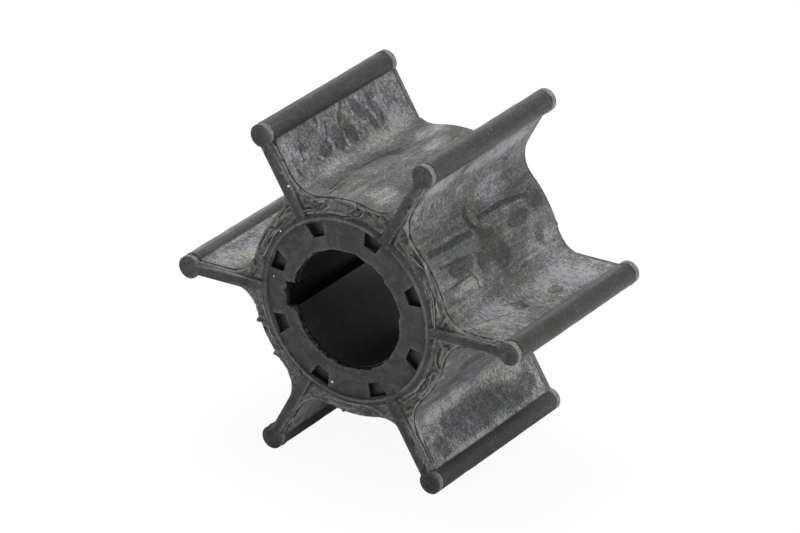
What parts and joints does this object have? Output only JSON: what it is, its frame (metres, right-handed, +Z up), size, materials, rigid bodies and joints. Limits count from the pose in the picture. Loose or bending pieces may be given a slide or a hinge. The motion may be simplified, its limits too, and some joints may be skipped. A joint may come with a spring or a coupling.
{
  "type": "flexible pump impeller",
  "caption": "Flexible rubber pump impeller: straight beaded vanes on a hub moulded over a keyed bush, lying on its vanes.",
  "frame": {"origin": "bore axis, half-way along the impeller", "axes": "+Y along the bore from the front end to the back end, +Z up with the impeller lying on two vanes, keyway towards -X"},
  "size_m": [0.065, 0.0356, 0.0568],
  "materials": {
    "rubber": "matt black moulded rubber with a grey bloom",
    "bush": "satin black moulded bush"
  },
  "bodies": {
    "root": {"rubber_body": "rubber", "bush": "bush"}
  },
  "joints": []
}
